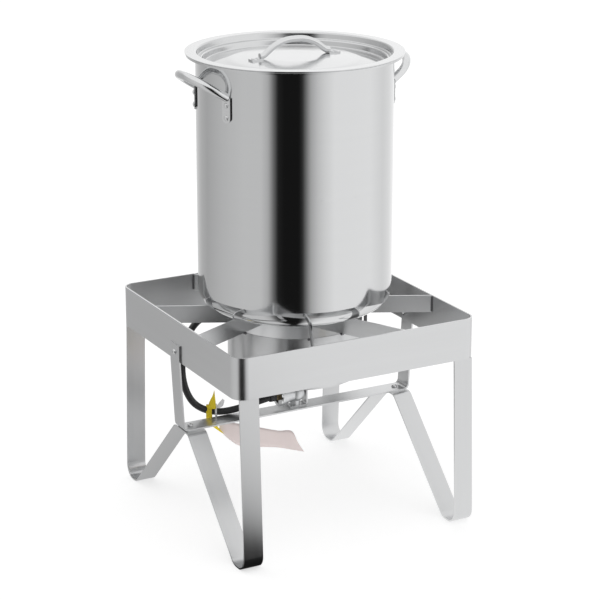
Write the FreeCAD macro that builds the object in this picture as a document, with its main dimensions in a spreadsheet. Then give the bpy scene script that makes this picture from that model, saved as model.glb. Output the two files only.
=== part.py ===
import FreeCAD, Part
import math
import os

# A lidded brew kettle standing on its square gas burner stand.
# Millimetres, +Z up, origin on the floor under the middle of the stand.
# X runs along the brace strap under the burner, Y across it.

Vector = FreeCAD.Vector
Rotation = FreeCAD.Rotation
Placement = FreeCAD.Placement
Z_AXIS = Vector(0, 0, 1)

doc = FreeCAD.newDocument("brew_kettle")
sheet = doc.addObject("Spreadsheet::Sheet", "sizes")

SIZES = {
    # stand
    "stand_width": 416,
    "stand_top": 337.5,
    "skirt_height": 65,
    "skirt_wall": 2.5,
    "skirt_corner": 20,
    "strip_width": 32,
    "strip_wall": 2.5,
    "leg_edge": 202,
    "leg_top": 300,
    "foot_spread": 218,
    "foot_bend": 20,
    "foot_length": 36,
    "brace_top": 160,
    "hanger_top": 300,
    "hanger_bolt_up": 287,
    "support_height": 28,
    "support_reach": 80,
    "support_apex": 46,
    "guard_outer": 107,
    "guard_wall": 1.2,
    "guard_height": 84,
    "bolt_shank": 3,
    # burner
    "burner_axis": 182,
    "bell_outer": 17,
    "tube_outer": 12,
    "riser_top": 234,
    "head_outer": 44,
    "head_height": 20,
    "bracket_wall": 2.5,
    "bracket_width": 16,
    # hose and regulator
    "hose_outer": 5.5,
    "coil_mean": 55,
    "coil_middle": 125,
    "coil_low": 244.5,
    "coil_tall": 23,
    "tail_run": 24,
    "regulator_outer": 25,
    "regulator_wide": 26,
    # kettle and lid
    "kettle_outer": 152.5,
    "kettle_height": 401,
    "kettle_wall": 1.2,
    "kettle_corner": 28,
    "rim_outer": 167,
    "lid_outer": 168.5,
    "lid_disc": 141,
    "lid_drop": 20,
    "handle_rod": 6.5,
    "handle_mount": 54,
    "handle_reach": 44.4,
    "handle_rise": 28,
    "lid_rod": 4.8,
    "rivet_shank": 2,
    "rivet_head": 4,
}
for row, (alias, value) in enumerate(SIZES.items(), start=1):
    sheet.set(f"A{row}", alias)
    sheet.set(f"B{row}", str(value))
    sheet.setAlias(f"B{row}", alias)
doc.recompute()


def size(alias):
    return float(getattr(sheet, alias))


NODES = []


def node(item, label):
    """Marks an object as a finished sub-part and gives it its name."""
    item.Label = label
    NODES.append(item)
    return item


# ---------------------------------------------------------------- helpers


def new_body(name, place=None):
    body = doc.addObject("PartDesign::Body", name)
    if place is not None:
        body.Placement = place
    return body


def new_sketch(body, role, shapes):
    """A sketch on one of the body's own origin planes."""
    plane = next(p for p in body.Origin.OriginFeatures if p.Role == role)
    sketch = body.newObject("Sketcher::SketchObject", body.Name + "_sketch")
    sketch.AttachmentSupport = (plane, [""])
    sketch.MapMode = "FlatFace"
    for shape in shapes:
        sketch.addGeometry(shape, False)
    return sketch


def padded(body, role, shapes, length):
    """Pads an outline; length is a sheet expression."""
    pad = body.newObject("PartDesign::Pad", body.Name + "_pad")
    pad.Profile = new_sketch(body, role, shapes)
    pad.setExpression("Length", length)
    return pad


def turned(body, shapes):
    """Revolves an outline in the XZ plane about the body's Z axis."""
    sketch = new_sketch(body, "XZ_Plane", shapes)
    turn = body.newObject("PartDesign::Revolution", body.Name + "_turn")
    turn.Profile = sketch
    turn.ReferenceAxis = (sketch, ["V_Axis"])
    turn.Angle = 360
    return turn


def bend(before, corner, after, radius):
    """Centre and tangent points of a bend in a centreline."""
    back = (before - corner).normalize()
    ahead = (after - corner).normalize()
    half = back.getAngle(ahead) / 2
    reach = radius / math.tan(half)
    middle = corner + (back + ahead).normalize() * (radius / math.sin(half))
    return middle, corner + back * reach, corner + ahead * reach


def arc_between(centre, first, last):
    """The shorter arc about centre from first to last."""
    radius = (first - centre).Length
    way = ((first - centre) + (last - centre)).normalize()
    return Part.Arc(first, centre + way * radius, last)


def strip_outline(points, radii, wall):
    """Outline of a strip of sheet, wall thick, bent along a flat centreline."""
    line = [Vector(u, v, 0) for u, v in points]
    bends = [bend(line[i - 1], line[i], line[i + 1], radii[i - 1]) for i in range(1, len(line) - 1)]

    def aside(start, end):
        way = (end - start).normalize()
        return Vector(-way.y, way.x, 0) * (wall / 2)

    def edge_of(sign):
        """The points and bends of one face of the strip, from first end to last."""
        at = line[0] + aside(line[0], line[1]) * sign
        out = []
        for i, (middle, enter, leave) in enumerate(bends, start=1):
            first = enter + aside(line[i - 1], line[i]) * sign
            last = leave + aside(line[i], line[i + 1]) * sign
            out.append(Part.LineSegment(at, first))
            out.append(arc_between(middle, first, last))
            at = last
        end = line[-1] + aside(line[-2], line[-1]) * sign
        out.append(Part.LineSegment(at, end))
        return out

    left, right = edge_of(1), edge_of(-1)
    start_cap = Part.LineSegment(left[0].StartPoint, right[0].StartPoint)
    end_cap = Part.LineSegment(left[-1].EndPoint, right[-1].EndPoint)
    return left + right + [start_cap, end_cap]


def polygon(points):
    """Closed outline through flat points."""
    ends = [Vector(u, v, 0) for u, v in points]
    return [Part.LineSegment(ends[i - 1], ends[i]) for i in range(len(ends))]


def rounded_square(side, corner):
    """Closed outline of a square with round corners, about the origin."""
    half = side / 2
    inner = half - corner
    shapes = []
    for quarter in range(4):
        turn = Rotation(Z_AXIS, 90 * quarter)
        low, high = Vector(half, -inner, 0), Vector(half, inner, 0)
        middle, after = Vector(inner, inner, 0), Vector(inner, half, 0)
        low, high, middle, after = (turn.multVec(p) for p in (low, high, middle, after))
        shapes += [Part.LineSegment(low, high), arc_between(middle, high, after)]
    return shapes


def cylinder(name, radius, height, base, axis=Z_AXIS):
    """A Part cylinder; radius and height are sheet expressions or numbers."""
    item = doc.addObject("Part::Cylinder", name)
    for field, value in (("Radius", radius), ("Height", height)):
        if isinstance(value, str):
            item.setExpression(field, value)
        else:
            setattr(item, field, value)
    item.Placement = Placement(base, Rotation(Z_AXIS, axis))
    return item


def cone(name, first, last, height, base, axis=Z_AXIS):
    item = doc.addObject("Part::Cone", name)
    item.Radius1 = first
    item.Radius2 = last
    item.Height = height
    item.Placement = Placement(base, Rotation(Z_AXIS, axis))
    return item


def block(name, low, high, turn=0):
    """A box between two corners, then turned about Z."""
    item = doc.addObject("Part::Box", name)
    item.Length, item.Width, item.Height = (high - low).x, (high - low).y, (high - low).z
    item.Placement = Placement(Vector(), Rotation(Z_AXIS, turn)).multiply(Placement(low, Rotation()))
    return item


def hexagon(name, across, height, base, axis=Z_AXIS):
    item = doc.addObject("Part::Prism", name)
    item.Polygon = 6
    item.Circumradius = across / math.sqrt(3)
    item.Height = height
    item.Placement = Placement(base, Rotation(Z_AXIS, axis))
    return item


def joined(name, items):
    item = doc.addObject("Part::MultiFuse", name)
    item.Shapes = items
    return item


def grouped(name, items):
    item = doc.addObject("Part::Compound", name)
    item.Links = items
    return item


def less(name, base, tool):
    item = doc.addObject("Part::Cut", name)
    item.Base = base
    item.Tool = tool
    return item


def rod_body(name, points, radii, rod, place):
    """A round rod bent along a flat centreline, with the line in the body's XY plane."""
    body = new_body(name, place)
    line = [Vector(u, v, 0) for u, v in points]
    path, at = [], line[0]
    for i in range(1, len(line) - 1):
        middle, enter, leave = bend(line[i - 1], line[i], line[i + 1], radii[i - 1])
        path += [Part.LineSegment(at, enter), arc_between(middle, enter, leave)]
        at = leave
    path.append(Part.LineSegment(at, line[-1]))
    spine = new_sketch(body, "XY_Plane", path)
    way = (line[1] - line[0]).normalize()
    face = Placement(line[0], Rotation(Z_AXIS, way))
    plane = next(p for p in body.Origin.OriginFeatures if p.Role == "XY_Plane")
    profile = body.newObject("Sketcher::SketchObject", name + "_section")
    profile.AttachmentSupport = (plane, [""])
    profile.MapMode = "FlatFace"
    profile.AttachmentOffset = face
    profile.addGeometry(Part.Circle(Vector(), Z_AXIS, rod), False)
    pipe = body.newObject("PartDesign::AdditivePipe", name + "_pipe")
    pipe.Profile = profile
    pipe.Spine = spine
    return body


# ---------------------------------------------------------------- stand

STAND_HALF = size("stand_width") / 2
INNER_HALF = STAND_HALF - size("skirt_wall")
TOP = size("stand_top")
STRIP = size("strip_wall")
WIDE = size("strip_width")
BRACE_TOP = size("brace_top")
SUPPORT_LOW = TOP - size("support_height")
LEAN_START = TOP - size("skirt_height") - 3
LEAN_BEND = 30
BAR_BEND = 8
CROWN_HALF = 24
CROWN_BEND = 12


def make_skirt():
    """One strip bent into a square with round corners."""
    body = new_body("skirt_strip", Placement(Vector(0, 0, TOP - size("skirt_height")), Rotation()))
    inner_corner = size("skirt_corner") - size("skirt_wall")
    outline = rounded_square(2 * STAND_HALF, size("skirt_corner"))
    outline += rounded_square(2 * INNER_HALF, inner_corner)
    padded(body, "XY_Plane", outline, "sizes.skirt_height")
    holes = cylinder("hanger_holes", "sizes.bolt_shank", 2 * STAND_HALF + 20,
                     Vector(-STAND_HALF - 10, 0, size("hanger_bolt_up")), Vector(1, 0, 0))
    node(less("skirt_drilled", body, holes), "skirt_frame")


def make_supports():
    """Four V-shaped bars on edge, each from one wall to its apex and back."""
    wall = INNER_HALF
    reach, apex = size("support_reach"), size("support_apex")
    slope = reach / (wall - apex)
    back = STRIP * math.sqrt(1 + slope * slope)
    for turn, side in enumerate(("right", "back", "left", "front")):
        body = new_body("support_" + side,
                        Placement(Vector(0, 0, SUPPORT_LOW), Rotation(Z_AXIS, 90 * turn)))
        outline = polygon([
            (apex, 0),
            (wall, reach),
            (wall, reach - back),
            (apex + back / slope, 0),
            (wall, back - reach),
            (wall, -reach),
        ])
        padded(body, "XY_Plane", outline, "sizes.support_height")
        node(body, "pot_support_" + side)


def make_guard():
    """Round wind guard hanging under the four supports."""
    radius, wall, tall = size("guard_outer"), size("guard_wall"), size("guard_height")
    low = Vector(0, 0, SUPPORT_LOW - tall)
    outer = cylinder("guard_outside", "sizes.guard_outer", "sizes.guard_height", low)
    inner = cylinder("guard_inside", radius - wall, tall + 2, low - Z_AXIS)
    node(less("guard", outer, inner), "wind_guard")


def make_legs():
    """One bent strip on each side makes two legs that meet under the brace.

    Each leg is upright and welded flat inside the skirt, leans out below it, and has
    its top corner notched to clear the skirt's round corner.
    """
    top_y = INNER_HALF - STRIP / 2
    foot_y = size("foot_spread") - STRIP / 2
    radius = size("foot_bend")
    sole = STRIP / 2
    half = [
        (top_y, size("leg_top")),
        (top_y, LEAN_START),
        (foot_y, sole),
        (foot_y - size("foot_length"), sole),
        (CROWN_HALF, BRACE_TOP - 1.5 * STRIP),
    ]
    mirror = [(-y, z) for y, z in reversed(half)]
    bends = [LEAN_BEND, radius, radius, CROWN_BEND]
    outline = strip_outline(half + mirror, bends + bends[::-1], STRIP)
    notch_x = STAND_HALF - size("skirt_corner")
    for name, side in (("left", -1), ("right", 1)):
        middle = side * (size("leg_edge") - WIDE / 2)
        body = new_body("leg_" + name, Placement(Vector(middle - WIDE / 2, 0, 0), Rotation()))
        padded(body, "YZ_Plane", outline, "sizes.strip_width")
        low_x, high_x = sorted((side * notch_x, side * STAND_HALF))
        cuts = [cylinder("leg_hole_" + name, "sizes.bolt_shank", 10,
                         Vector(middle, 0, BRACE_TOP - 9))]
        for end in (-1, 1):
            low_y, high_y = sorted((end * (top_y - STRIP), end * STAND_HALF))
            cuts.append(block(f"leg_notch_{name}_{end + 1}",
                              Vector(low_x, low_y, TOP - size("skirt_height")),
                              Vector(high_x, high_y, TOP)))
        node(less("leg_cut_" + name, body, joined("leg_cuts_" + name, cuts)), "leg_strip_" + name)


def make_brace():
    """A U-shaped strap: hangers outside two skirt walls that lean in to a bar below."""
    edge = STAND_HALF + STRIP / 2
    bar_end = size("leg_edge") + STRIP / 2
    low = BRACE_TOP - STRIP / 2
    half = [(edge, size("hanger_top")), (edge, LEAN_START), (bar_end, low)]
    mirror = [(-x, z) for x, z in half]
    outline = strip_outline(mirror + half[::-1], [LEAN_BEND, BAR_BEND, BAR_BEND, LEAN_BEND], STRIP)
    body = new_body("brace", Placement(Vector(0, WIDE / 2, 0), Rotation()))
    padded(body, "XZ_Plane", outline, "sizes.strip_width")
    holes = [cylinder("brace_hanger_hole", "sizes.bolt_shank", 2 * STAND_HALF + 20,
                      Vector(-STAND_HALF - 10, 0, size("hanger_bolt_up")), Vector(1, 0, 0))]
    for side in (-1, 0, 1):
        x = side * (size("leg_edge") - WIDE / 2)
        holes.append(cylinder(f"brace_hole_{side + 1}", "sizes.bolt_shank", 10,
                              Vector(x, 0, BRACE_TOP - 8)))
    node(less("brace_drilled", body, joined("brace_holes", holes)), "brace_strap")


def bolt(name, base, way, grip, head=4.5, tall=3.5, tail=5):
    """A round-headed bolt whose head sits on base and whose shank runs along way."""
    button = cylinder(name + "_head", head, tall, base - way * tall, way)
    shank = cylinder(name + "_shank", "sizes.bolt_shank", grip + tail, base, way)
    return joined(name, [button, shank])


def nut(name, base, way):
    """A hexagon nut with its near face on base."""
    ring = hexagon(name + "_hex", 10, 4, base, way)
    bore = cylinder(name + "_bore", "sizes.bolt_shank", 6, base - way, way)
    return less(name, ring, bore)


def make_fasteners():
    bolts, nuts = [], []
    out = STAND_HALF + STRIP
    for side, name in ((-1, "left"), (1, "right")):
        way = Vector(-side, 0, 0)
        base = Vector(side * out, 0, size("hanger_bolt_up"))
        grip = STRIP + size("skirt_wall")
        bolts.append(bolt("hanger_bolt_" + name, base, way, grip))
        nuts.append(nut("hanger_nut_" + name, base + way * grip, way))
    node(grouped("hanger_bolt_set", bolts), "hanger_bolts")
    node(grouped("hanger_nut_set", nuts), "hanger_nuts")
    bolts, nuts = [], []
    for side, name in ((-1, "left"), (1, "right")):
        base = Vector(side * (size("leg_edge") - WIDE / 2), 0, BRACE_TOP)
        down = Vector(0, 0, -1)
        bolts.append(bolt("brace_bolt_" + name, base, down, 2 * STRIP))
        nuts.append(nut("brace_nut_" + name, base + down * 2 * STRIP, down))
    node(grouped("brace_bolt_set", bolts), "brace_bolts")
    node(grouped("brace_nut_set", nuts), "brace_nuts")


make_skirt()
make_supports()
make_guard()
make_legs()
make_brace()
make_fasteners()

# ---------------------------------------------------------------- burner

AXIS_Z = size("burner_axis")
BELL_END = -30
SHUTTER_WALL = 1.6
ALONG_X = Vector(1, 0, 0)
FERRULE = 7.5


def make_burner():
    """Cast mixing tube: bell, elbow and riser, standing on a bolted boss."""
    plate_top = BRACE_TOP + size("bracket_wall")
    bore = size("tube_outer") - 4
    outside = [
        cone("bell_outside", size("bell_outer"), size("tube_outer"), 22,
             Vector(BELL_END, 0, AXIS_Z), ALONG_X),
        cylinder("tube_outside", "sizes.tube_outer", 12, Vector(BELL_END + 22, 0, AXIS_Z), ALONG_X),
        cylinder("riser_outside", "sizes.tube_outer", size("riser_top") - AXIS_Z,
                 Vector(2, 0, AXIS_Z)),
        cylinder("boss_outside", 8, 16, Vector(0, 0, plate_top)),
    ]
    elbow = doc.addObject("Part::Sphere", "elbow_outside")
    elbow.Radius = size("tube_outer") + 2
    elbow.Placement = Placement(Vector(2, 0, AXIS_Z), Rotation())
    outside.append(elbow)
    inside = [
        cone("bell_inside", size("bell_outer") - 3, bore, 20,
             Vector(BELL_END + 2.5, 0, AXIS_Z), ALONG_X),
        cylinder("tube_inside", bore, 14, Vector(BELL_END + 20, 0, AXIS_Z), ALONG_X),
        cylinder("riser_inside", bore, size("riser_top") - AXIS_Z + 2, Vector(2, 0, AXIS_Z)),
        cylinder("spud_hole", 5, 6, Vector(BELL_END - 1, 0, AXIS_Z), ALONG_X),
        cylinder("boss_hole", "sizes.bolt_shank", 8, Vector(0, 0, plate_top - 1)),
    ]
    for turn in (0, 180):
        window = block(f"bell_window_{turn}", Vector(-1, -4, 7), Vector(5, 4, 12))
        window.Placement = Placement(
            Vector(BELL_END, 0, AXIS_Z), Rotation(ALONG_X, turn)
        ).multiply(window.Placement)
        inside.append(window)
    node(less("burner_cast", joined("burner_outside", outside), joined("burner_inside", inside)),
         "burner_body")


def make_head():
    """Round burner head on the riser, with a ring of gas ports in its top."""
    low, outer, tall = size("riser_top"), size("head_outer"), size("head_height")
    middle = Vector(2, 0, 0)
    bowl = cone("head_bowl", size("tube_outer") + 2, outer, tall - 8, middle + Z_AXIS * low)
    band = cylinder("head_band", "sizes.head_outer", 8, middle + Z_AXIS * (low + tall - 8))
    hollow = cone("head_hollow", size("tube_outer") - 4, outer - 5, tall - 8,
                  middle + Z_AXIS * low)
    cap = cylinder("head_room", outer - 5, 5, middle + Z_AXIS * (low + tall - 8))
    ports = []
    for ring, count in ((34, 16), (24, 12), (14, 8)):
        for step in range(count):
            angle = 2 * math.pi * step / count
            at = middle + Vector(ring * math.cos(angle), ring * math.sin(angle), low + tall - 5)
            ports.append(cylinder(f"port_{ring}_{step}", 1.6, 8, at))
    inside = joined("head_inside", [hollow, cap] + ports)
    node(less("head_cast", joined("head_outside", [bowl, band]), inside), "burner_head")


def make_bracket():
    """L-shaped plate under the boss, rising beside the elbow to the head."""
    wall, wide = size("bracket_wall"), size("bracket_width")
    upright = 17 + wall / 2
    low = BRACE_TOP + wall / 2
    path = [(-12, low), (upright, low), (upright, size("riser_top") - 6)]
    outline = strip_outline(path, [4], wall)
    body = new_body("burner_plate", Placement(Vector(0, wide / 2, 0), Rotation()))
    padded(body, "XZ_Plane", outline, "sizes.bracket_width")
    hole = cylinder("plate_hole", "sizes.bolt_shank", 6, Vector(0, 0, BRACE_TOP - 1))
    node(less("plate_drilled", body, hole), "burner_bracket")
    grip = STRIP + wall
    up = Z_AXIS
    base = Vector(0, 0, BRACE_TOP - STRIP)
    screw = joined("burner_screw", [
        hexagon("burner_screw_head", 9, 3.5, base - up * 3.5),
        cylinder("burner_screw_shank", "sizes.bolt_shank", grip + 6, base),
        cylinder("burner_screw_tip", 2, 2.5, base - up * 6),
    ])
    node(screw, "burner_bolt")


def make_shutter():
    """Air shutter disc with two windows, turning on the brass spud."""
    at = Vector(BELL_END - SHUTTER_WALL, 0, AXIS_Z)
    disc = cylinder("shutter_disc", size("bell_outer"), SHUTTER_WALL, at, ALONG_X)
    cuts = [cylinder("shutter_hole", 5.2, 4, at - ALONG_X, ALONG_X)]
    for turn in (0, 180):
        window = block(f"shutter_window_{turn}", Vector(-1, -4, 7), Vector(3, 4, 12))
        window.Placement = Placement(at, Rotation(ALONG_X, turn)).multiply(window.Placement)
        cuts.append(window)
    tab = block("shutter_tab", Vector(0, -3, size("bell_outer") - 1),
                Vector(SHUTTER_WALL, 3, size("bell_outer") + 5))
    tab.Placement = Placement(at, Rotation(ALONG_X, 90)).multiply(tab.Placement)
    node(less("shutter", joined("shutter_plate", [disc, tab]), joined("shutter_cuts", cuts)),
         "air_shutter")


def make_spud():
    """Brass orifice spud and hexagon that hold the shutter and take the hose."""
    face = Vector(BELL_END - SHUTTER_WALL, 0, AXIS_Z)
    spud = cylinder("spud_shank", 5, 6.6, face, ALONG_X)
    collar = hexagon("spud_hexagon", 14, 4.4, face - ALONG_X * 4.4, ALONG_X)
    bore = cylinder("spud_bore", 1.2, 20, face - ALONG_X * 10, ALONG_X)
    node(less("spud", joined("spud_solid", [spud, collar]), bore), "orifice_spud")
    sleeve = cylinder("hose_sleeve", FERRULE, 10, face - ALONG_X * 14.4, ALONG_X)
    node(sleeve, "hose_ferrule")


make_burner()
make_head()
make_bracket()
make_shutter()
make_spud()

# ---------------------------------------------------------------- hose

HOSE = size("hose_outer")
MID = size("coil_middle")
COIL_R = size("coil_mean")
TAIL_STEPS = 4
TAIL_BACK = 20
FERRULE_OUT = 12
FERRULE_LONG = 14

# The free stretch, from the ferrule on the burner to the tied coil.
HOSE_ROUTE = [
    (-46, 0, 182),
    (-72, 4, 176),
    (-98, 12, 168),
    (-123, 22, 163.5),
    (-148, 27, 170),
    (-169, 27, 186),
    (-182, 26, 212),
    (-186, 29, 242),
    (-178, 40, 271),
    (-158, 60, 292),
    (-128, 85, 301),
    (-92, 110, 300),
    (-52, 135, 296),
    (-8, 156, 291),
    (36, 171, 284),
    (78, 179, 274),
    (108, 181, 265),
]


def tail_route():
    """The coil's loose end: level along +Y, then over and down in four equal turns."""
    run = size("tail_run")
    at = Vector(MID - COIL_R, MID - TAIL_BACK, size("coil_low") + HOSE)
    points = [at]
    for step in range(TAIL_STEPS + 1):
        dip = math.radians(90 * step / TAIL_STEPS)
        at = at + Vector(0, math.cos(dip), -math.sin(dip)) * run
        points.append(at)
    return points


def make_hose(label, points):
    """A tube along straight runs joined by tangent arcs."""
    edges, at, radii = [], points[0], []
    for i in range(1, len(points) - 1):
        back = (points[i - 1] - points[i]).Length
        ahead = (points[i + 1] - points[i]).Length
        turn = math.pi - (points[i - 1] - points[i]).getAngle(points[i + 1] - points[i])
        radius = 0.45 * min(back, ahead) / math.tan(turn / 2)
        middle, enter, leave = bend(points[i - 1], points[i], points[i + 1], radius)
        edges.append(Part.LineSegment(at, enter).toShape())
        edges.append(arc_between(middle, enter, leave).toShape())
        radii.append(round(radius))
        at = leave
    edges.append(Part.LineSegment(at, points[-1]).toShape())
    spine = Part.Wire(edges)
    way = (points[1] - points[0]).normalize()
    ring = Part.Wire(Part.Circle(points[0], way, HOSE).toShape())
    tube = Part.Wire(spine).makePipeShell([ring], True, True)
    expected = math.pi * HOSE * HOSE * spine.Length
    print(label, "bend radii", radii, "volume ratio", round(tube.Volume / expected, 4),
          "length", round(spine.Length))
    item = doc.addObject("Part::Feature", label)
    item.Shape = tube
    item.Placement = Placement()
    node(item, label)


def make_coil():
    """The tied coil as one solid of its outer shape."""
    low = Vector(MID, MID, size("coil_low"))
    outer = cylinder("coil_outside", COIL_R + HOSE, "sizes.coil_tall", low)
    inner = cylinder("coil_inside", COIL_R - HOSE, size("coil_tall") + 2, low - Z_AXIS)
    node(less("coil", outer, inner), "hose_coil")


def make_tie():
    """A band that hangs the coil from the nearest pot support."""
    slope = math.atan2(size("support_reach"), INNER_HALF - size("support_apex"))
    along = Vector(math.cos(slope), math.sin(slope), 0)
    across = Vector(-along.y, along.x, 0)
    apex = Vector(size("support_apex"), 0, 0)
    centre = Vector(MID, MID, 0)
    foot = apex + along * (centre - apex).dot(along)
    near = (centre - foot).dot(across) - COIL_R + HOSE
    band, gap, wide = 1.5, 0.6, 8
    low_z = size("coil_low") - gap
    high_z = TOP + gap
    reach_in = near + gap
    reach_out = -STRIP - gap
    inner = block("tie_inside", Vector(reach_out, -wide, low_z), Vector(reach_in, wide, high_z))
    outer = block("tie_outside", Vector(reach_out - band, -wide / 2, low_z - band),
                  Vector(reach_in + band, wide / 2, high_z + band))
    turn = Placement(foot, Rotation(Z_AXIS, math.degrees(math.atan2(across.y, across.x))))
    for item in (inner, outer):
        item.Placement = turn.multiply(item.Placement)
    node(less("tie", outer, inner), "coil_tie")


def make_regulator():
    """Gas regulator hanging on the hose's end, with its knob and cylinder nut."""
    hose_end = tail_route()[-1]
    outer, wide = size("regulator_outer"), size("regulator_wide")
    down = Vector(0, 0, -1)
    centre = hose_end + down * (FERRULE_OUT + outer)
    drum = cylinder("regulator_drum", "sizes.regulator_outer", "sizes.regulator_wide",
                    centre - ALONG_X * (wide / 2), ALONG_X)
    flange = cylinder("regulator_flange", outer + 2, 4, centre - ALONG_X * 2, ALONG_X)
    neck = cylinder("regulator_neck", 6, 12, centre - ALONG_X * (wide / 2 + 12), ALONG_X)
    shell = joined("regulator_shell", [drum, flange, neck])
    port = cylinder("drum_port", FERRULE, FERRULE_LONG, hose_end, down)
    node(less("regulator_case", shell, port), "regulator_body")
    node(cylinder("tail_ferrule_tube", FERRULE, FERRULE_LONG, hose_end, down), "tail_ferrule")
    knob_at = centre + ALONG_X * (wide / 2)
    knob = joined("knob", [
        cylinder("knob_disc", 12, 9, knob_at, ALONG_X),
        block("knob_grip", knob_at + Vector(9, -10, -2), knob_at + Vector(13, 10, 2)),
    ])
    node(knob, "regulator_knob")
    nut_at = centre - ALONG_X * (wide / 2 + 26)
    wheel = cylinder("nut_wheel", 22, 18, nut_at, ALONG_X)
    throat = cylinder("nut_throat", 16.5, 12, nut_at - ALONG_X, ALONG_X)
    seat = cylinder("nut_seat", 6.2, 20, nut_at, ALONG_X)
    node(less("wheel_nut", wheel, joined("nut_hollow", [throat, seat])), "tank_nut")


make_hose("gas_hose", [Vector(*point) for point in HOSE_ROUTE])
make_coil()
make_hose("hose_tail", tail_route())
make_tie()
make_regulator()

# ---------------------------------------------------------------- kettle

KETTLE = size("kettle_outer")
SHEET = size("kettle_wall")
RIM = TOP + size("kettle_height")
MOUNT_ANGLE = math.degrees(math.asin(size("handle_mount") / KETTLE))
HANDLE_DROP = 49
RIVET_DROPS = (60, 79)
PAD_TOP = 48
PAD_WALL = 2.5
PAD_HALF = 8
RIVET_SLACK = 0.1


def mount_angles():
    """Directions of the four places where a side handle is riveted on."""
    return [face + side * MOUNT_ANGLE for face in (0, 180) for side in (-1, 1)]


def radial(angle, radius, height):
    turn = math.radians(angle)
    return Vector(radius * math.cos(turn), radius * math.sin(turn), height)


def make_kettle():
    """Drawn shell: flat bottom, round corner, straight wall and turned-out rim."""
    half = SHEET / 2
    path = [
        (0, TOP + half),
        (KETTLE - half, TOP + half),
        (KETTLE - half, RIM - half),
        (size("rim_outer") - half, RIM - half),
        (size("rim_outer") - half, RIM - 4),
    ]
    outline = strip_outline(path, [size("kettle_corner"), 3, 1.6], SHEET)
    body = new_body("kettle_body")
    turned(body, outline)
    holes = []
    for n, angle in enumerate(mount_angles()):
        for m, drop in enumerate(RIVET_DROPS):
            way = radial(angle, 1, 0)
            holes.append(cylinder(f"kettle_hole_{n}_{m}", "sizes.rivet_shank", 10,
                                  radial(angle, KETTLE - 6, RIM - drop), way))
    node(less("kettle_drilled", body, joined("kettle_holes", holes)), "kettle_shell")


def make_handles():
    """Two bent rods whose flattened ends are riveted to the wall."""
    reach, rise, mount = size("handle_reach"), size("handle_rise"), size("handle_mount")
    slant = math.hypot(reach, rise)
    tilt = math.degrees(math.atan2(rise, reach))
    start_x = KETTLE * math.cos(math.radians(MOUNT_ANGLE))
    knee = slant * 0.53
    grip = 24
    path = [(0, -mount), (knee, 3 - mount), (slant, -grip), (slant, grip),
            (knee, mount - 3), (0, mount)]
    for face, name in ((180, "left"), (0, "right")):
        lie = Placement(Vector(start_x, 0, RIM - HANDLE_DROP), Rotation(Vector(0, 1, 0), -tilt))
        place = Placement(Vector(), Rotation(Z_AXIS, face)).multiply(lie)
        rod = rod_body("rod_" + name, path, [44, 50, 50, 44], size("handle_rod"), place)
        pieces = [rod]
        for side in (-1, 1):
            angle = face + side * MOUNT_ANGLE
            low = RIM - RIVET_DROPS[-1]
            pieces.append(block(f"pad_{name}_{side + 1}", Vector(KETTLE - PAD_HALF, -PAD_HALF, low),
                                Vector(KETTLE + PAD_WALL, PAD_HALF, RIM - PAD_TOP), angle))
            pieces.append(cylinder(f"pad_end_{name}_{side + 1}", PAD_HALF, PAD_HALF + PAD_WALL,
                                   radial(angle, KETTLE - PAD_HALF, low), radial(angle, 1, 0)))
        wall = cylinder("wall_" + name, "sizes.kettle_outer", 120, Vector(0, 0, RIM - 110))
        holes = [wall]
        for side in (-1, 1):
            for m, drop in enumerate(RIVET_DROPS):
                angle = face + side * MOUNT_ANGLE
                holes.append(cylinder(f"pad_hole_{name}_{side + 1}_{m}", "sizes.rivet_shank", 14,
                                      radial(angle, KETTLE - 6, RIM - drop), radial(angle, 1, 0)))
        node(less("handle_" + name, joined("handle_solid_" + name, pieces),
                  joined("handle_holes_" + name, holes)), "side_handle_" + name)


def rivet(name, base, way, grip, head):
    """A rivet with a domed head on base and a flat tail behind the sheets."""
    dome = cone(name + "_dome", head, head * 0.55, 1.8, base, way)
    shank = cylinder(name + "_shank", "sizes.rivet_shank", grip + 1.2, base - way * (grip + 1.2), way)
    tail = cylinder(name + "_tail", head * 0.8, 1.2, base - way * (grip + 1.2), way)
    return joined(name, [dome, shank, tail])


def make_handle_rivets():
    rivets = []
    for n, angle in enumerate(mount_angles()):
        for m, drop in enumerate(RIVET_DROPS):
            way = radial(angle, 1, 0)
            rivets.append(rivet(f"handle_rivet_{n}_{m}", radial(angle, KETTLE + PAD_WALL, RIM - drop),
                                way, PAD_WALL + SHEET + RIVET_SLACK, size("rivet_head")))
    node(grouped("handle_rivet_set", rivets), "handle_rivets")


make_kettle()
make_handles()
make_handle_rivets()

# ---------------------------------------------------------------- lid

LID_TOP = RIM + SHEET
PAD_SLOPE = 0.05
PAD_IN, PAD_OUT = 57, 76
LID_CROWN = RIM - 5.5
LID_PAD = 2.4
LID_PAD_HALF = 7
DISC_FLAT = 46
DISC_BREAK = 98
LID_RIVETS = (63, 71)
LID_TILT = math.degrees(math.atan(PAD_SLOPE))


def pad_height(reach):
    """Height of the lid's top face where the handle pads lie."""
    return LID_CROWN - PAD_SLOPE * reach


def lid_rivet_line(side, reach):
    """Base point on the pad and direction, square to the sloping lid, of one lid rivet."""
    way = Rotation(Vector(0, 1, 0), side * LID_TILT).multVec(Z_AXIS)
    return Vector(side * reach, 0, pad_height(reach)) + way * LID_PAD, way


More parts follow.
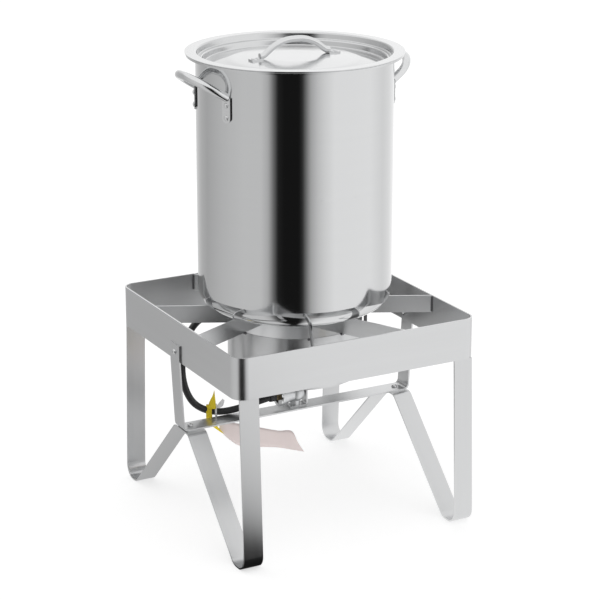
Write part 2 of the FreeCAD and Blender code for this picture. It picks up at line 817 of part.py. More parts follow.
def make_lid():
    """Recessed lid: flange on the kettle's rim, two-stepped wall and a crowned disc."""
    half = SHEET / 2
    flange = LID_TOP - half
    disc = size("lid_disc")
    low = LID_TOP - size("lid_drop") - half
    fall = math.hypot(1, PAD_SLOPE)
    path = [
        (0, pad_height(DISC_FLAT) - half * fall),
        (DISC_FLAT, pad_height(DISC_FLAT) - half * fall),
        (DISC_BREAK, pad_height(DISC_BREAK) - half * fall),
        (disc - 1, low),
        (disc + 1, flange - 10),
        (disc + 8, flange - 10),
        (disc + 10, flange),
        (size("lid_outer"), flange),
    ]
    outline = strip_outline(path, [60, 60, 2.5, 2, 2, 2.5], SHEET)
    body = new_body("lid_body")
    turned(body, outline)
    holes = []
    for side in (-1, 1):
        for m, reach in enumerate(LID_RIVETS):
            base, way = lid_rivet_line(side, reach)
            holes.append(cylinder(f"lid_hole_{side + 1}_{m}", "sizes.rivet_shank", 12,
                                  base - way * 8, way))
    node(less("lid_drilled", body, joined("lid_holes", holes)), "lid_pan")
    make_lid_handle()


def make_lid_handle():
    """An arched rod with a flattened foot at each end."""
    rod_r = size("lid_rod")
    foot = pad_height(PAD_IN) + rod_r
    half = [(-PAD_IN - 3, foot), (-53, foot + 1), (-36, foot + 14), (-16, foot + 22)]
    path = half + [(-x, z) for x, z in reversed(half)]
    stand_up = Placement(Vector(), Rotation(ALONG_X, 90))
    rod = rod_body("lid_rod_body", path, [14, 50, 60, 60, 50, 14], rod_r, stand_up)
    pieces, holes, rivets = [rod], [], []
    for side in (-1, 1):
        turn = Rotation(Vector(0, 1, 0), side * LID_TILT)
        at = Vector(side * (PAD_IN + PAD_OUT) / 2, 0, pad_height((PAD_IN + PAD_OUT) / 2))
        long = (PAD_OUT - PAD_IN) / 2
        pad = block(f"lid_pad_{side + 1}", Vector(-long, -LID_PAD_HALF, 0),
                    Vector(long, LID_PAD_HALF, LID_PAD))
        pad.Placement = Placement(at, turn).multiply(pad.Placement)
        pieces.append(pad)
        under = block(f"lid_under_{side + 1}", Vector(-30, -20, -12), Vector(30, 20, 0))
        under.Placement = Placement(at, turn).multiply(under.Placement)
        holes.append(under)
        for m, reach in enumerate(LID_RIVETS):
            base, way = lid_rivet_line(side, reach)
            holes.append(cylinder(f"lid_pad_hole_{side + 1}_{m}", "sizes.rivet_shank", 12,
                                  base - way * 6, way))
            rivets.append(rivet(f"lid_rivet_{side + 1}_{m}", base, way,
                                LID_PAD + SHEET + RIVET_SLACK, 3.4))
    node(less("lid_handle_cut", joined("lid_handle_solid", pieces),
              joined("lid_handle_holes", holes)), "lid_handle")
    node(grouped("lid_rivet_set", rivets), "lid_rivets")


make_lid()

# ---------------------------------------------------------------- check and write

doc.recompute()
for item in doc.Objects:
    if "Invalid" in item.State or "Error" in item.State:
        raise RuntimeError(f"{item.Name} failed: {item.State}")
for item in NODES:
    if item.Shape.isNull() or not item.Shape.isValid():
        raise RuntimeError(f"{item.Label} has no valid shape")
    if item.Shape.Volume < 1:
        raise RuntimeError(f"{item.Label} is empty")
os.makedirs("parts", exist_ok=True)
for item in NODES:
    item.Shape.exportStep(f"parts/{item.Label}.step")
    box = item.Shape.BoundBox
    print(f"{item.Label:22s} solids {len(item.Shape.Solids)} volume {item.Shape.Volume:9.0f}",
          f"x {box.XMin:.1f} {box.XMax:.1f} y {box.YMin:.1f} {box.YMax:.1f}",
          f"z {box.ZMin:.1f} {box.ZMax:.1f}")
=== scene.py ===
import math

import bmesh
import bpy
from mathutils import Matrix, Vector


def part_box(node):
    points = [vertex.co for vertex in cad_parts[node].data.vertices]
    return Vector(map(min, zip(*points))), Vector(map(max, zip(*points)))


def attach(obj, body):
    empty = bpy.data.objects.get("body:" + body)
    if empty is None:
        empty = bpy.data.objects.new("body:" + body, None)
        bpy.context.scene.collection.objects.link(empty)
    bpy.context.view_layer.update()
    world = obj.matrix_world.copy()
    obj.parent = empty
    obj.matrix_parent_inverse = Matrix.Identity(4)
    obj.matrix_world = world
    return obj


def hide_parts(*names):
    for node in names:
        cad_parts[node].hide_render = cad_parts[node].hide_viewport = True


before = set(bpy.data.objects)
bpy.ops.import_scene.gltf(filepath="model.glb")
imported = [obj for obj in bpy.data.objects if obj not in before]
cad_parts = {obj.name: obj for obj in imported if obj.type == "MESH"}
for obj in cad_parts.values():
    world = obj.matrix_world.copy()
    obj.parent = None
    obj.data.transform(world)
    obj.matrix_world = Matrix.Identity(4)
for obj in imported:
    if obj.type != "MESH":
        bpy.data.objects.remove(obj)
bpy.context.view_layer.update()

# A lidded brew kettle on its gas burner stand. Metres, +Z up, origin on the floor under
# the middle of the stand, X along the brace strap.

SCENE = bpy.context.scene
Z_AXIS = Vector((0, 0, 1))

# ------------------------------------------------------------------ sizes

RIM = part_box("kettle_shell")[1].z
KETTLE_RADIUS = 0.1525
SKIRT_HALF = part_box("skirt_frame")[1].x
SKIRT_WALL = 0.0025
GUARD_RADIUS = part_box("wind_guard")[1].x
GUARD_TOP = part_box("wind_guard")[1].z
SCREW_TALL = 0.0035
SCREW_GRIP = 0.01
BRACE_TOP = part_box("brace_bolts")[1].z - SCREW_TALL
STRIP_WIDE = 0.032
LEG_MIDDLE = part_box("leg_strip_right")[1].x - STRIP_WIDE / 2
HOSE = 0.0055

# ------------------------------------------------------------------ camera

CAMERA_PLACE = Vector((-1.4496, -2.7035, 1.3329))
CAMERA_TURN = math.radians(-28.2)
CAMERA_DIP = math.radians(17)


def make_camera():
    """The view that the object is matched in."""
    lens = bpy.data.cameras.new("camera")
    lens.sensor_width = 36
    lens.lens = 122.17
    lens.shift_x = 0.0087
    lens.shift_y = -0.057
    lens.clip_end = 50
    camera = bpy.data.objects.new("camera", lens)
    camera.location = CAMERA_PLACE
    camera.rotation_euler = (math.pi / 2 - CAMERA_DIP, 0, CAMERA_TURN)
    SCENE.collection.objects.link(camera)
    SCENE.camera = camera


make_camera()

# ------------------------------------------------------------------ node helpers


class Shader:
    """A material under construction, with short ways to add and link nodes."""

    def __init__(self, name):
        self.material = bpy.data.materials.new(name)
        self.material.use_nodes = True
        self.tree = self.material.node_tree
        self.surface = self.tree.nodes["Principled BSDF"]

    def node(self, kind, **fields):
        made = self.tree.nodes.new(kind)
        for field, value in fields.items():
            setattr(made, field, value)
        return made

    def link(self, source, target):
        self.tree.links.new(source, target)

    def value(self, operation, first, second=0.0, third=0.0):
        """A maths node; each input is a number or another node's output."""
        maths = self.node("ShaderNodeMath", operation=operation)
        for slot, given in zip(maths.inputs, (first, second, third)):
            if isinstance(given, bpy.types.NodeSocket):
                self.link(given, slot)
            else:
                slot.default_value = given
        return maths.outputs[0]

    def noise(self, vector, scale=1.0, detail=3.0, rough=0.6):
        noise = self.node("ShaderNodeTexNoise")
        noise.inputs["Scale"].default_value = scale
        noise.inputs["Detail"].default_value = detail
        noise.inputs["Roughness"].default_value = rough
        self.link(vector, noise.inputs["Vector"])
        return noise.outputs["Fac"]

    def stretched(self, across):
        """Object coordinates scaled by the three numbers of across."""
        coordinates = self.node("ShaderNodeTexCoord").outputs["Object"]
        mapping = self.node("ShaderNodeMapping")
        mapping.inputs["Scale"].default_value = across
        self.link(coordinates, mapping.inputs["Vector"])
        return mapping.outputs[0]

    def round_z(self, turn, radius, height):
        """Cylinder coordinates about Z: angle, radius and height, each scaled."""
        coordinates = self.node("ShaderNodeTexCoord").outputs["Object"]
        split = self.node("ShaderNodeSeparateXYZ")
        self.link(coordinates, split.inputs[0])
        x, y, z = split.outputs
        angle = self.value("ARCTAN2", y, x)
        reach = self.value("SQRT", self.value("ADD", self.value("MULTIPLY", x, x),
                                              self.value("MULTIPLY", y, y)))
        joined = self.node("ShaderNodeCombineXYZ")
        for source, scale, target in ((angle, turn, 0), (reach, radius, 1), (z, height, 2)):
            self.link(self.value("MULTIPLY", source, scale), joined.inputs[target])
        return joined.outputs[0]

    def between(self, factor, low, high):
        """Maps 0..1 to low..high."""
        return self.value("MULTIPLY_ADD", factor, high - low, low)

    def tint(self, factor, dark, light):
        """Mixes two colours by factor into the base colour."""
        mix = self.node("ShaderNodeMix", data_type="RGBA")
        mix.inputs[6].default_value = (*dark, 1)
        mix.inputs[7].default_value = (*light, 1)
        self.link(factor, mix.inputs[0])
        self.link(mix.outputs[2], self.surface.inputs["Base Color"])

    def bump(self, height, strength, distance):
        bump = self.node("ShaderNodeBump")
        bump.inputs["Strength"].default_value = strength
        bump.inputs["Distance"].default_value = distance
        self.link(height, bump.inputs["Height"])
        self.link(bump.outputs[0], self.surface.inputs["Normal"])

    def set(self, **inputs):
        for name, value in inputs.items():
            self.surface.inputs[name.replace("_", " ")].default_value = value


def brushed_steel(name, tone, rough, grain, stretch, vary=0.04, anisotropy=0.6):
    """Brushed sheet steel.

    grain is the axis that the brush lines run round; stretch turns object space into
    noise space, fine across the lines and long along them.
    """
    shader = Shader(name)
    lines = stretch(shader)
    fine = shader.noise(lines, 1.0, 4.0, 0.7)
    broad = shader.noise(lines, 0.12, 2.0, 0.5)
    both = shader.between(broad, 0, 0.5)
    both = shader.value("MULTIPLY_ADD", fine, 0.5, both)
    shader.tint(both, [c * (1 - vary) for c in tone], [min(1, c * (1 + vary)) for c in tone])
    spread = shader.between(both, rough * 0.82, rough * 1.18)
    shader.link(spread, shader.surface.inputs["Roughness"])
    shader.bump(fine, 0.12, 0.00006)
    shader.set(Metallic=1.0, Anisotropic=anisotropy, Anisotropic_Rotation=0.25)
    tangent = shader.node("ShaderNodeTangent", direction_type="RADIAL", axis=grain)
    shader.link(tangent.outputs[0], shader.surface.inputs["Tangent"])
    return shader.material


def plain_metal(name, tone, rough, scale=400, vary=0.08, bump=0.1):
    """Plated, cast or machined metal with fine mottling."""
    shader = Shader(name)
    grain = shader.noise(shader.stretched((1, 1, 1)), scale, 4.0, 0.6)
    cloud = shader.noise(shader.stretched((1, 1, 1)), scale / 20, 2.0, 0.5)
    both = shader.value("MULTIPLY_ADD", cloud, 0.5, shader.between(grain, 0, 0.5))
    shader.tint(both, [c * (1 - vary) for c in tone], [min(1, c * (1 + vary)) for c in tone])
    shader.link(shader.between(both, rough * 0.8, rough * 1.2), shader.surface.inputs["Roughness"])
    shader.bump(grain, bump, 0.0002)
    shader.set(Metallic=1.0)
    return shader.material


def plain_stuff(name, tone, rough, scale=600, vary=0.1, bump=0.15, specular=0.4):
    """Rubber, plastic or paper: not a metal, faintly mottled and grained."""
    shader = Shader(name)
    grain = shader.noise(shader.stretched((1, 1, 1)), scale, 3.0, 0.6)
    cloud = shader.noise(shader.stretched((1, 1, 1)), scale / 30, 3.0, 0.5)
    both = shader.value("MULTIPLY_ADD", cloud, 0.6, shader.between(grain, 0, 0.4))
    shader.tint(both, [c * (1 - vary) for c in tone], [min(1, c * (1 + vary)) for c in tone])
    spread = shader.between(both, rough * 0.85, rough * 1.15)
    shader.link(spread, shader.surface.inputs["Roughness"])
    shader.bump(grain, bump, 0.0002)
    shader.set(Specular_IOR_Level=specular)
    return shader.material


# ------------------------------------------------------------------ materials

STEEL = (0.68, 0.685, 0.69)
SPUN_STEEL = brushed_steel("spun_steel", STEEL, 0.08, "Z", lambda s: s.round_z(3, 900, 900),
                           vary=0.02, anisotropy=0.5)
LID_STEEL = brushed_steel("lid_steel", STEEL, 0.12, "Z", lambda s: s.round_z(6, 1200, 600),
                          vary=0.04, anisotropy=0.6)
SHEET_STEEL = brushed_steel("sheet_steel", STEEL, 0.3, "Z", lambda s: s.stretched((25, 25, 900)),
                            anisotropy=0.5)
LEG_STEEL = brushed_steel("leg_steel", STEEL, 0.32, "X", lambda s: s.stretched((900, 25, 25)),
                          anisotropy=0.5)
STRAP_STEEL = brushed_steel("strap_steel", STEEL, 0.32, "Y", lambda s: s.stretched((25, 900, 25)),
                            anisotropy=0.5)
ROD_STEEL = plain_metal("rod_steel", (0.74, 0.745, 0.75), 0.16, 700, 0.03, 0.03)
# Dark weld metal for the beads; the same dark material is also painted shade on the screws' cross
# recesses.
WELD_AND_RECESS_SHADE = plain_metal("weld_and_recess_shade", (0.2, 0.2, 0.21), 0.45, 500, 0.3, 0.3)
ZINC = plain_metal("zinc_plate", (0.72, 0.725, 0.73), 0.24, 900, 0.06, 0.05)
CAST = plain_metal("cast_metal", (0.8, 0.81, 0.82), 0.5, 900, 0.12, 0.5)
BRASS = plain_metal("brass", (0.3, 0.23, 0.13), 0.4, 700, 0.08, 0.05)
GREY_ZINC = plain_metal("regulator_zinc", (0.5, 0.51, 0.53), 0.42, 800, 0.1, 0.3)
RUBBER = plain_stuff("hose_rubber", (0.022, 0.022, 0.023), 0.42, 900, 0.3, 0.2)
BLACK_PLASTIC = plain_stuff("black_plastic", (0.035, 0.035, 0.037), 0.4, 900, 0.2, 0.2)
YELLOW_FILM = plain_stuff("yellow_film", (0.86, 0.66, 0.02), 0.4, 500, 0.08, 0.05)
WHITE_FILM = plain_stuff("white_film", (0.86, 0.86, 0.87), 0.4, 500, 0.04, 0.05)
PINK_FILM = plain_stuff("pink_film", (0.9, 0.79, 0.77), 0.5, 120, 0.05, 0.05)

NODE_MATERIALS = {
    SPUN_STEEL: ["kettle_shell"],
    LID_STEEL: ["lid_pan"],
    SHEET_STEEL: ["skirt_frame", "wind_guard", "pot_support_right", "pot_support_back",
                  "pot_support_left", "pot_support_front"],
    LEG_STEEL: ["leg_strip_left", "leg_strip_right"],
    STRAP_STEEL: ["brace_strap", "burner_bracket"],
    ROD_STEEL: ["side_handle_left", "side_handle_right", "lid_handle", "handle_rivets",
                "lid_rivets"],
    ZINC: ["hanger_bolts", "hanger_nuts", "brace_bolts", "brace_nuts", "burner_bolt",
           "air_shutter"],
    CAST: ["burner_body", "burner_head"],
    BRASS: ["orifice_spud"],
    BLACK_PLASTIC: ["hose_ferrule", "coil_tie", "tail_ferrule", "regulator_knob", "tank_nut"],
    GREY_ZINC: ["regulator_body"],
    RUBBER: ["gas_hose", "hose_coil", "hose_tail"],
}


def paint_nodes():
    """Gives every carried-over CAD node its material."""
    for material, names in NODE_MATERIALS.items():
        for name in names:
            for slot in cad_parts[name].material_slots:
                slot.material = material


paint_nodes()

EDGED = ["skirt_frame", "pot_support_right", "pot_support_back", "pot_support_left",
         "pot_support_front", "leg_strip_left", "leg_strip_right", "brace_strap"]


def soften_edges():
    """A narrow round on the sheared edges of the sheet and strip, which catches the light."""
    for name in EDGED:
        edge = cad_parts[name].modifiers.new("edge", "BEVEL")
        edge.width = 0.0006
        edge.segments = 2
        edge.limit_method = "ANGLE"
        edge.angle_limit = math.radians(40)
        edge.harden_normals = True


soften_edges()

# ------------------------------------------------------------------ mesh helpers


def add_piece(name, data, material, body):
    """Links a new piece, gives it its material and sets what it rides on."""
    piece = bpy.data.objects.new(name, data)
    SCENE.collection.objects.link(piece)
    piece.data.materials.append(material)
    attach(piece, body)
    return piece


def mesh_from(name, build):
    """A smooth mesh made by build(bm)."""
    mesh = bpy.data.meshes.new(name)
    bm = bmesh.new()
    build(bm)
    bmesh.ops.recalc_face_normals(bm, faces=bm.faces)
    for face in bm.faces:
        face.smooth = True
    bm.to_mesh(mesh)
    bm.free()
    return mesh


def frame_about(way):
    """Two directions square to way and to each other."""
    way = way.normalized()
    side = way.cross(Z_AXIS if abs(way.z) < 0.9 else Vector((1, 0, 0))).normalized()
    return side, way.cross(side)


def add_turned(bm, profile, base, way, steps=48):
    """Turns (radius, height) points about the line from base along way."""
    side, other = frame_about(way)
    rings = []
    for radius, height in profile:
        ring = []
        for k in range(steps):
            angle = 2 * math.pi * k / steps
            out = side * math.cos(angle) + other * math.sin(angle)
            ring.append(bm.verts.new(base + way * height + out * max(radius, 1e-5)))
        rings.append(ring)
    for low, high in zip(rings, rings[1:]):
        for k in range(steps):
            bm.faces.new((low[k - 1], low[k], high[k], high[k - 1]))
    bm.faces.new(rings[0])
    bm.faces.new(rings[-1])


# ------------------------------------------------------------------ hose

HOSE_ROUTE = [
    (-0.046, 0, 0.182),
    (-0.072, 0.004, 0.176),
    (-0.098, 0.012, 0.168),
    (-0.123, 0.022, 0.1635),
    (-0.148, 0.027, 0.17),
    (-0.169, 0.027, 0.186),
    (-0.182, 0.026, 0.212),
    (-0.186, 0.029, 0.242),
    (-0.178, 0.04, 0.271),
    (-0.158, 0.06, 0.292),
    (-0.128, 0.085, 0.301),
    (-0.092, 0.11, 0.3),
    (-0.052, 0.135, 0.296),
    (-0.008, 0.156, 0.291),
    (0.036, 0.171, 0.284),
    (0.078, 0.179, 0.274),
]
COIL_MIDDLE = 0.125
COIL_RADIUS = 0.0552
COIL_START = math.radians(107)
COIL_SWEEP = math.radians(640)
COIL_LAYERS = (0.2622, 0.2498)
COIL_POINTS = 28
TAIL_RUN = 0.024
TAIL_STEPS = 4


def coil_route():
    """Two level turns of the coil, clockwise, the second under the first."""
    high, low = COIL_LAYERS
    points = []
    for k in range(COIL_POINTS + 1):
        swept = COIL_SWEEP * k / COIL_POINTS
        angle = COIL_START - swept
        down = min(1, max(0, (math.degrees(swept) - 280) / 80))
        ease = down * down * (3 - 2 * down)
        points.append((COIL_MIDDLE + COIL_RADIUS * math.cos(angle),
                       COIL_MIDDLE + COIL_RADIUS * math.sin(angle),
                       high + (low - high) * ease))
    return points


def tail_route():
    """The coil's loose end: level along +Y, then over and down to the regulator."""
    at = Vector((COIL_MIDDLE - 0.055, COIL_MIDDLE - 0.02, 0.25))
    points = []
    for step in range(TAIL_STEPS + 1):
        dip = math.radians(90 * step / TAIL_STEPS)
        at = at + Vector((0, math.cos(dip), -math.sin(dip))) * TAIL_RUN
        points.append(tuple(at))
    return points


def make_hose():
    """One tube through the free stretch, the coil's turns and its tail."""
    curve = bpy.data.curves.new("gas_hose_line", "CURVE")
    curve.dimensions = "3D"
    curve.bevel_depth = HOSE
    curve.bevel_resolution = 8
    curve.resolution_u = 10
    curve.use_fill_caps = True
    spline = curve.splines.new("NURBS")
    points = HOSE_ROUTE + coil_route() + tail_route()
    spline.points.add(len(points) - 1)
    for point, place in zip(spline.points, points):
        point.co = (*place, 1)
    spline.order_u = 3
    spline.use_endpoint_u = True
    hose = add_piece("gas_hose_line", curve, RUBBER, "stand")
    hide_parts("gas_hose", "hose_coil", "hose_tail")


make_hose()

# ------------------------------------------------------------------ tags on the hose

TAG_RIGHT = Vector((math.cos(CAMERA_TURN), math.sin(CAMERA_TURN), 0))
TAG_BACK = Vector((-math.sin(CAMERA_TURN), math.cos(CAMERA_TURN), 0))
TAG_ORIGIN = Vector((-0.125, 0.025, 0))


def tag_point(right, up, back=0.0):
    """A point in the upright plane that the tags hang in, given in millimetres."""
    return TAG_ORIGIN + (TAG_RIGHT * right + Z_AXIS * up + TAG_BACK * back) / 1000


def smooth_line(points, steps=8):
    """A smooth line through the points."""
    line = []
    ends = [points[0] * 2 - points[1], *points, points[-1] * 2 - points[-2]]
    for i in range(1, len(ends) - 2):
        p0, p1, p2, p3 = ends[i - 1:i + 3]
        for k in range(steps):
            t = k / steps
            line.append(0.5 * (2 * p1 + (p2 - p0) * t + (2 * p0 - 5 * p1 + 4 * p2 - p3) * t * t
                               + (3 * p1 - p0 - 3 * p2 + p3) * t ** 3))
    line.append(points[-1])
    return line


def film(name, one_edge, other_edge, thickness, material):
    """A strip of film between two smooth edges."""
    first, second = smooth_line(one_edge), smooth_line(other_edge)

    def build(bm):
        rows = []
        for a, b in zip(first, second):
            rows.append([bm.verts.new(a.lerp(b, k / 6)) for k in range(7)])
        for low, high in zip(rows, rows[1:]):
            for k in range(6):
                bm.faces.new((low[k], low[k + 1], high[k + 1], high[k]))

    piece = add_piece(name, mesh_from(name, build), material, "stand")
    solid = piece.modifiers.new("thickness", "SOLIDIFY")
    solid.thickness = thickness
    solid.offset = 0
    return piece


def make_tags():
    """Blank film tags looped on the hose: a yellow one, a white one and a faded long one."""
    loop = []
    for k in range(13):
        turn = 2 * math.pi * k / 12
        loop.append((math.cos(turn), math.sin(turn)))
    outer = [tag_point(-14, 163 + 15 * up, 9 * back - 6) for back, up in loop]
    film("yellow_loop", [p - TAG_RIGHT * 0.0045 for p in outer],
         [p + TAG_RIGHT * 0.0045 for p in outer], 0.0005, YELLOW_FILM)
    film("yellow_flag",
         [tag_point(-16, 174, -15), tag_point(-13, 186, -15), tag_point(-8, 196, -14),
          tag_point(-5.6, 204, -13)],
         [tag_point(-3, 174, -15), tag_point(-3, 184, -15), tag_point(-4, 194, -14),
          tag_point(-5, 204.6, -13)], 0.0005, YELLOW_FILM)
    film("yellow_point", [tag_point(-17, 156, -15), tag_point(-11, 146, -13),
                          tag_point(-1, 136, -9), tag_point(8, 128, -5)],
         [tag_point(-7, 157, -15), tag_point(-3, 147, -13), tag_point(3, 137, -9),
          tag_point(8.6, 128.2, -5)], 0.0005, YELLOW_FILM)
    ring = [tag_point(-3, 166 + 12 * up, 9 * back - 4) for back, up in loop]
    film("white_loop", [p - TAG_RIGHT * 0.0015 for p in ring],
         [p + TAG_RIGHT * 0.0015 for p in ring], 0.0005, WHITE_FILM)
    film("white_flag", [tag_point(-3, 175, -12), tag_point(1, 182, -12), tag_point(8, 190, -11)],
         [tag_point(1, 174, -12), tag_point(8, 178, -12), tag_point(11, 187, -11)],
         0.0005, WHITE_FILM)
    film("faded_label",
         [tag_point(2, 150, -4), tag_point(20, 147, -4), tag_point(40, 143, -3),
          tag_point(68, 136, 1), tag_point(95, 129, 6), tag_point(117, 129, 4),
          tag_point(127, 110, 2)],
         [tag_point(2, 134, -4), tag_point(16, 119, -4), tag_point(36, 106, -3),
          tag_point(68, 103, 1), tag_point(95, 100, 6), tag_point(118, 97, 4),
          tag_point(137, 94.5, 2)], 0.0004, PINK_FILM)


make_tags()

# ------------------------------------------------------------------ fasteners

SCREW_HEAD = [(0.0045, 0), (0.0046, 0.0006), (0.0043, 0.0018), (0.0035, 0.0028), (0.0022, 0.0034),
              (0.0009, 0.0036), (0.0, 0.0036)]


def add_screw(bm, base, way, grip):
    """A pan-head screw: round head on base, shank going back through the sheets."""
    add_turned(bm, SCREW_HEAD, base, way, 32)
    add_turned(bm, [(0.003, 0), (0.003, grip), (0.0024, grip + 0.0006)], base, -way, 24)


def add_recess_shade(bm, base, way, turn):
    """Painted shade for the cross recess in a screw's head: two thin dark bars just proud of the
    dome stand in for the shadow in the hollow.
    """
    side, other = frame_about(way)
    for quarter in (0, 1):
        angle = turn + quarter * math.pi / 2
        along = side * math.cos(angle) + other * math.sin(angle)
        across = way.cross(along)
        rows = []
        for k in range(9):
            t = -1 + k / 4
            lift = 0.0037 - 0.0011 * t * t
            middle = base + way * lift + along * (0.0028 * t)
            half = across * 0.00055
            rows.append([bm.verts.new(middle - half), bm.verts.new(middle + half)])
        for low, high in zip(rows, rows[1:]):
            bm.faces.new((low[0], low[1], high[1], high[0]))


def make_screws():
    """Pan heads in place of the plain bolts of the hangers and the brace."""
    hanger_z = (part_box("hanger_bolts")[0].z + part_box("hanger_bolts")[1].z) / 2
    hanger_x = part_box("hanger_bolts")[1].x - SCREW_TALL
    sets = {
        "hanger_screws": ("hanger_bolts", [(Vector((side * hanger_x, 0, hanger_z)),
                                            Vector((side, 0, 0))) for side in (-1, 1)]),
        "brace_screws": ("brace_bolts", [(Vector((side * LEG_MIDDLE, 0, BRACE_TOP)), Z_AXIS)
                                         for side in (-1, 1)]),
    }
    for name, (stands_for, screws) in sets.items():
        def heads(bm, screws=screws):
            for base, way in screws:
                add_screw(bm, base, way, SCREW_GRIP)

        def recess_shades(bm, screws=screws):
            for n, (base, way) in enumerate(screws):
                add_recess_shade(bm, base, way, 0.5 + n)

        piece = add_piece(name, mesh_from(name, heads), ZINC, "stand")
        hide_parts(stands_for)
        # Painted shade: dark bars on each screw head stand in for the shadow inside its cross
        # recess.
        add_piece(name + "_recess_shade", mesh_from(name + "_recess_shade", recess_shades), WELD_AND_RECESS_SHADE, "stand")


make_screws()


def rivet_profile(radius, height):
    """A domed rivet head."""
    steps = 8
    dome = []
    for k in range(steps + 1):
        angle = math.pi / 2 * k / steps
        dome.append((radius * math.cos(angle), height * math.sin(angle)))
    return [(radius * 0.94, -0.0002)] + dome


HANDLE_MOUNT = 0.054
HANDLE_DROPS = (0.06, 0.079)
HANDLE_PAD = 0.0025
LID_REACHES = (0.063, 0.071)
LID_PAD = 0.0024
LID_SLOPE = 0.05
LID_CROWN = RIM - 0.0055


def make_rivets():
    """Domed heads in place of the plain rivets on the side handles and the lid."""
    mount = math.asin(HANDLE_MOUNT / KETTLE_RADIUS)

    def side_rivets(bm):
        for face in (0, math.pi):
            for side in (-1, 1):
                angle = face + side * mount
                way = Vector((math.cos(angle), math.sin(angle), 0))
                for drop in HANDLE_DROPS:
                    base = way * (KETTLE_RADIUS + HANDLE_PAD) + Z_AXIS * (RIM - drop)
                    add_turned(bm, rivet_profile(0.0042, 0.0024), base, way, 32)
                    add_turned(bm, rivet_profile(0.0034, 0.001), base - way * 0.0037, -way, 24)

    piece = add_piece("handle_rivet_heads", mesh_from("handle_rivet_heads", side_rivets), ROD_STEEL,
                      "kettle")
    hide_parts("handle_rivets")

    def lid_rivets(bm):
        tilt = math.atan(LID_SLOPE)
        for side in (-1, 1):
            way = Vector((side * math.sin(tilt), 0, math.cos(tilt)))
            for reach in LID_REACHES:
                face = Vector((side * reach, 0, LID_CROWN - LID_SLOPE * reach))
                base = face + way * LID_PAD
                add_turned(bm, rivet_profile(0.0035, 0.002), base, way, 32)
                add_turned(bm, rivet_profile(0.0028, 0.001), base - way * 0.0036, -way, 24)

    piece = add_piece("lid_rivet_heads", mesh_from("lid_rivet_heads", lid_rivets), ROD_STEEL,
                      "lid")
    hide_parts("lid_rivets")


make_rivets()

# ------------------------------------------------------------------ welds and the fill line

SUPPORT_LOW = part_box("pot_support_front")[0].z
SUPPORT_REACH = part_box("pot_support_front")[1].x
SUPPORT_APEX = 0.046
FILL_LEVEL = 0.541
FILL_START, FILL_SWEEP, FILL_STEPS = -104, 35, 40
FILL_LIFT = 0.00035
FILL_HALF = 0.0011


def add_bead(bm, start, end, radius):
    """A lumpy weld bead from start to end."""
    way = (end - start).normalized()
    length = (end - start).length
    profile = [(0.0, -radius * 0.6)]
    steps = max(3, round(length / radius))
    for k in range(steps + 1):
        profile.append((radius * (1 + 0.16 * math.cos(math.pi * k)), length * k / steps))
    profile.append((0.0, length + radius * 0.6))
    add_turned(bm, profile, start, way, 12)


def make_welds():
    """Beads where the pot supports meet the skirt and tacks where they carry the guard."""
    wall = SKIRT_HALF - SKIRT_WALL
    run = Vector((wall - SUPPORT_APEX, SUPPORT_REACH, 0))
    apex = Vector((SUPPORT_APEX, 0, 0))
    half = apex.dot(run)
    square = run.dot(run)
    room = GUARD_RADIUS ** 2 - SUPPORT_APEX ** 2
    part = (math.sqrt(half * half + square * room) - half) / square
    crossing = apex + run * part

    def build(bm):
        for quarter in range(4):
            turn = Matrix.Rotation(math.pi / 2 * quarter, 3, "Z")
            for side in (-1, 1):
                end = Vector((wall - 0.0006, side * (SUPPORT_REACH + 0.0004), 0))
                low = turn @ end + Z_AXIS * (SUPPORT_LOW + 0.002)
                add_bead(bm, low, low + Z_AXIS * 0.024, 0.0014)
                tack = turn @ Vector((crossing.x, side * crossing.y, GUARD_TOP - 0.001))
                out = turn @ Vector((crossing.x, side * crossing.y, 0)).normalized()
                along = Z_AXIS.cross(out)
                add_bead(bm, tack - along * 0.003, tack + along * 0.003, 0.002)

    add_piece("weld_beads", mesh_from("weld_beads", build), WELD_AND_RECESS_SHADE, "stand")


make_welds()


def make_fill_line():
    """A plain line pressed outward in the kettle's wall."""
    def build(bm):
        rows = []
        for k in range(FILL_STEPS + 1):
            angle = math.radians(FILL_START + FILL_SWEEP * k / FILL_STEPS)
            out = Vector((math.cos(angle), math.sin(angle), 0))
            ends = min(1, k / 3, (FILL_STEPS - k) / 3)
            row = []
            for m in range(7):
                across = -1 + m / 3
                lift = FILL_LIFT * ends * math.cos(across * math.pi / 2) - 0.00002
                row.append(bm.verts.new(out * (KETTLE_RADIUS + lift)
                                        + Z_AXIS * (FILL_LEVEL + FILL_HALF * across)))
            rows.append(row)
        for low, high in zip(rows, rows[1:]):
            for m in range(6):
                bm.faces.new((low[m], low[m + 1], high[m + 1], high[m]))

    add_piece("fill_line", mesh_from("fill_line", build), SPUN_STEEL, "kettle")


make_fill_line()

# ------------------------------------------------------------------ floor and light

CEILING = 0.98
PAPER = 0.95
UNDERSIDE = 0.2
# Brightness of the studio round the object: degrees to the right of the camera, level.
STUDIO_LIGHT = [
    (-180, 1.1), (-157, 0.72), (-137, 0.56), (-120, 0.5), (-90, 0.62), (-60, 0.7), (-38, 0.7),
    (-30, 0.55), (-24, 0.2), (-19, 0.02), (-12, 0.01), (5, 0.01), (9, 0.04), (13, 0.22), (18, 0.5),
    (26, 0.72), (34, 0.86), (45, 1.0), (95, 1.02), (120, 0.88), (135, 0.92), (150, 1.0),
]


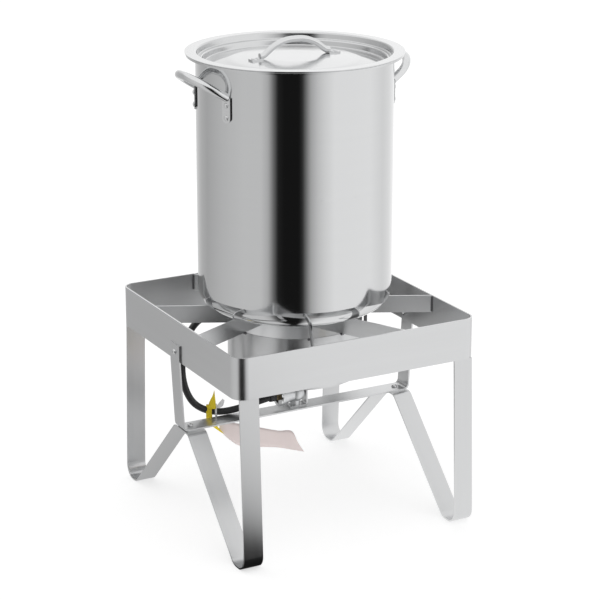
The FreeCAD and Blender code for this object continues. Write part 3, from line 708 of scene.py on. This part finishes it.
def studio_ramp(tree, place):
    """Colour of the studio towards place, going round the object, and the height of place."""
    turn = tree.nodes.new("ShaderNodeVectorRotate")
    turn.rotation_type = "Z_AXIS"
    turn.inputs["Angle"].default_value = math.pi / 2 - CAMERA_TURN
    tree.links.new(place, turn.inputs["Vector"])
    split = tree.nodes.new("ShaderNodeSeparateXYZ")
    tree.links.new(turn.outputs[0], split.inputs[0])
    angle = tree.nodes.new("ShaderNodeMath")
    angle.operation = "ARCTAN2"
    tree.links.new(split.outputs[1], angle.inputs[0])
    tree.links.new(split.outputs[0], angle.inputs[1])
    part = tree.nodes.new("ShaderNodeMath")
    part.operation = "MULTIPLY_ADD"
    part.inputs[1].default_value = 0.5 / math.pi
    part.inputs[2].default_value = 0.5
    tree.links.new(angle.outputs[0], part.inputs[0])
    ramp = tree.nodes.new("ShaderNodeValToRGB")
    tree.links.new(part.outputs[0], ramp.inputs[0])
    stops = ramp.color_ramp.elements
    stops.remove(stops[1])
    for n, (degrees, level) in enumerate(STUDIO_LIGHT):
        at = (degrees + 180) / 360
        stop = stops[0] if n == 0 else stops.new(at)
        stop.position = at
        stop.color = (level, level, level, 1)
    last = stops.new(1)
    last.color = (STUDIO_LIGHT[0][1],) * 3 + (1,)
    return ramp.outputs[0], split.outputs[2]


def make_world():
    """A round studio whose brightness changes round the object, under a pale ceiling."""
    world = bpy.data.worlds.new("studio")
    SCENE.world = world
    world.use_nodes = True
    tree = world.node_tree
    tree.nodes.clear()

    def share(height, low, high):
        """0 below low, 1 above high."""
        node = tree.nodes.new("ShaderNodeMapRange")
        node.interpolation_type = "SMOOTHSTEP"
        node.inputs["From Min"].default_value = low
        node.inputs["From Max"].default_value = high
        tree.links.new(height, node.inputs["Value"])
        return node.outputs[0]

    def mixed(factor, first, second):
        node = tree.nodes.new("ShaderNodeMix")
        node.data_type = "RGBA"
        tree.links.new(factor, node.inputs[0])
        for given, slot in ((first, node.inputs[6]), (second, node.inputs[7])):
            if isinstance(given, bpy.types.NodeSocket):
                tree.links.new(given, slot)
            else:
                slot.default_value = (given, given, given, 1)
        return node.outputs[2]

    place = tree.nodes.new("ShaderNodeTexCoord")
    wall, height = studio_ramp(tree, place.outputs["Generated"])
    walls = mixed(share(height, -0.75, -0.5), UNDERSIDE, wall)
    colour = mixed(share(height, 0.34, 0.6), walls, CEILING)
    light = tree.nodes.new("ShaderNodeBackground")
    tree.links.new(colour, light.inputs["Color"])
    paper = tree.nodes.new("ShaderNodeBackground")
    paper.inputs["Color"].default_value = (PAPER, PAPER, PAPER, 1)
    seen = tree.nodes.new("ShaderNodeLightPath")
    choose = tree.nodes.new("ShaderNodeMixShader")
    tree.links.new(seen.outputs["Is Camera Ray"], choose.inputs[0])
    tree.links.new(light.outputs[0], choose.inputs[1])
    tree.links.new(paper.outputs[0], choose.inputs[2])
    out = tree.nodes.new("ShaderNodeOutputWorld")
    tree.links.new(choose.outputs[0], out.inputs[0])


def flat_square(name, half, height):
    """A level square about the origin."""
    def build(bm):
        corners = ((-half, -half), (half, -half), (half, half), (-half, half))
        bm.faces.new([bm.verts.new((x, y, height)) for x, y in corners])

    return mesh_from(name, build)


def make_floor():
    """A plain pale floor for the camera, and under it the studio's floor for mirrors."""
    shader = Shader("floor")
    shader.set(Base_Color=(0.5, 0.5, 0.5, 1), Roughness=0.9, Specular_IOR_Level=0.0,
               Emission_Color=(1, 1, 1, 1), Emission_Strength=0.62)
    floor = bpy.data.objects.new("floor", flat_square("floor", 9, -0.0002))
    SCENE.collection.objects.link(floor)
    floor.data.materials.append(shader.material)
    floor.visible_glossy = False

    shader = Shader("floor_light")
    place = shader.node("ShaderNodeTexCoord").outputs["Object"]
    colour = studio_ramp(shader.tree, place)[0]
    shader.link(colour, shader.surface.inputs["Emission Color"])
    shader.set(Base_Color=(0, 0, 0, 1), Specular_IOR_Level=0.0, Emission_Strength=1.0)
    mirror_floor = bpy.data.objects.new("floor_light", flat_square("floor_light", 4, -0.001))
    SCENE.collection.objects.link(mirror_floor)
    mirror_floor.data.materials.append(shader.material)
    mirror_floor.visible_camera = False
    mirror_floor.visible_diffuse = False
    mirror_floor.visible_shadow = False


make_world()
make_floor()
SCENE.view_settings.view_transform = "Standard"
